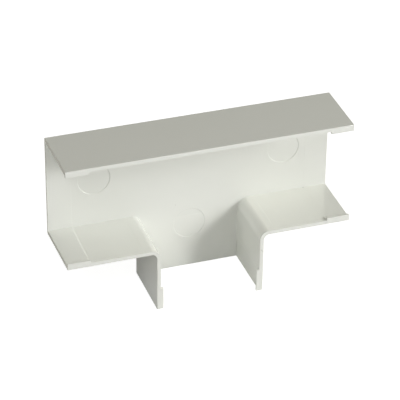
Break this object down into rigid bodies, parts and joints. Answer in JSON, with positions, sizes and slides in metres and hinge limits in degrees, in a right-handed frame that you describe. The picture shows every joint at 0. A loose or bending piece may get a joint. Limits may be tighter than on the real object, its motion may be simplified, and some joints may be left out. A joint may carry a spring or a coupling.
{
  "type": "trunking tee fitting",
  "caption": "Clip-on tee cover for mini trunking: a run channel with a short branch channel, open towards the wall, with retaining lips inside the rims.",
  "frame": {"origin": "under the middle of the part, in the plane of the branch's mouth, which it stands on", "axes": "+X along the straight run, +Y from the open wall side to the cover plate, +Z from the branch's mouth up to the long wall of the run"},
  "size_m": [0.11, 0.0262, 0.0656],
  "materials": {
    "off_white_plastic": "smooth moulded off-white plastic with a soft gloss"
  },
  "bodies": {
    "root": {"tee_cover": "off_white_plastic"}
  },
  "joints": []
}
